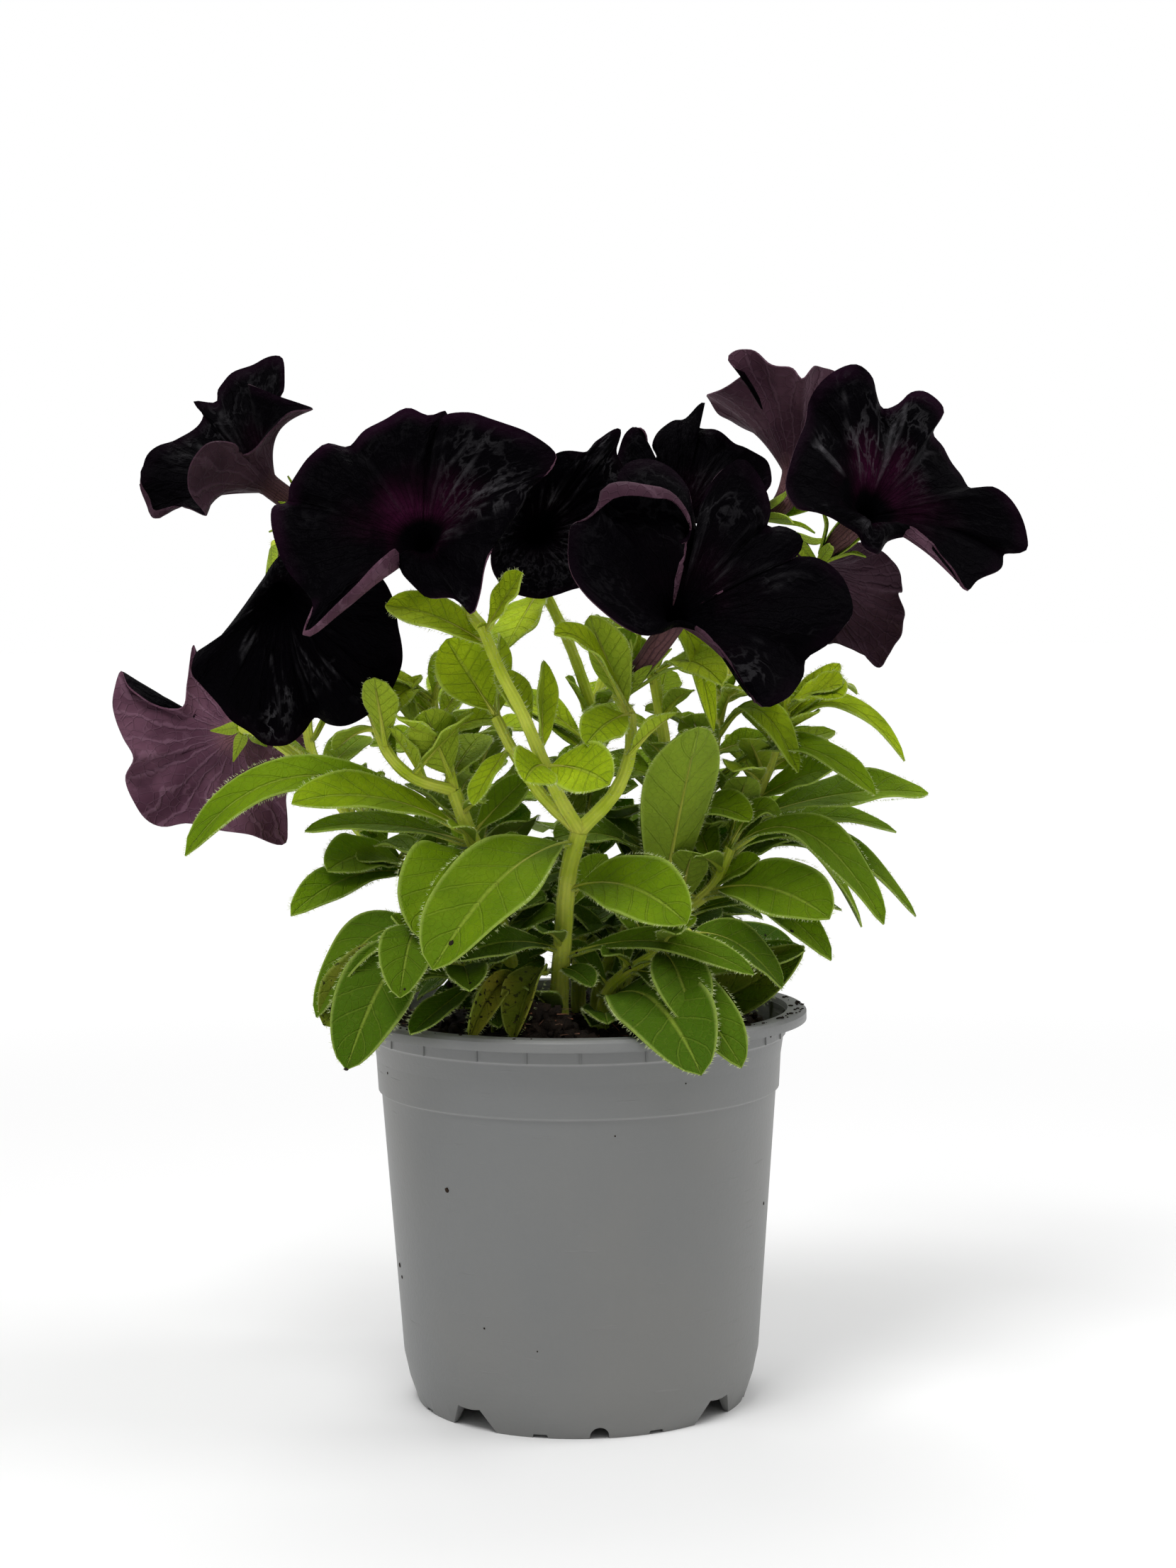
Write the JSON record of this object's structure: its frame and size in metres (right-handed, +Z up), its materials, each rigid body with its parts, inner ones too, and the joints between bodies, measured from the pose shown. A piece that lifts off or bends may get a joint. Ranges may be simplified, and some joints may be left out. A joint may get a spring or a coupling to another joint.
{
  "type": "potted petunia",
  "caption": "Bushy black petunia with leafy shoots and velvety dark trumpet blooms, growing in soil in a round grey plastic nursery pot.",
  "frame": {"origin": "on the pot's axis, on the surface that the pot stands on, under the middle of the plant's spread", "axes": "+Z up along the pot's axis, -Y towards the viewer of the picture, +X to the viewer's right"},
  "size_m": [0.2622, 0.1547, 0.2986],
  "materials": {
    "pot": "semi-matt moulded grey",
    "soil": "crumbly moist growing mix",
    "leaf": "soft green with fine pale hairs",
    "petal": "velvety near-black, dusky purple outside"
  },
  "bodies": {
    "root": {"pot": "pot", "soil": "soil", "bloom_top_left": "petal", "bloom_front_left": "petal", "bloom_low_left": "petal", "bloom_far_left": "petal", "bloom_middle": "petal", "bloom_front_right": "petal", "bloom_back_middle": "petal", "bloom_top_right": "petal", "bloom_right": "petal", "bloom_low_right": "petal", "shoot_front": "leaf", "shoot_left": "leaf", "shoot_far_left": "leaf", "shoot_low_left": "leaf", "shoot_low_right": "leaf", "shoot_right": "leaf", "shoot_far_right": "leaf", "shoot_middle": "leaf", "shoot_back_right": "leaf", "shoot_back": "leaf", "shoot_back_left": "leaf", "shoot_far_back": "leaf"}
  },
  "joints": []
}
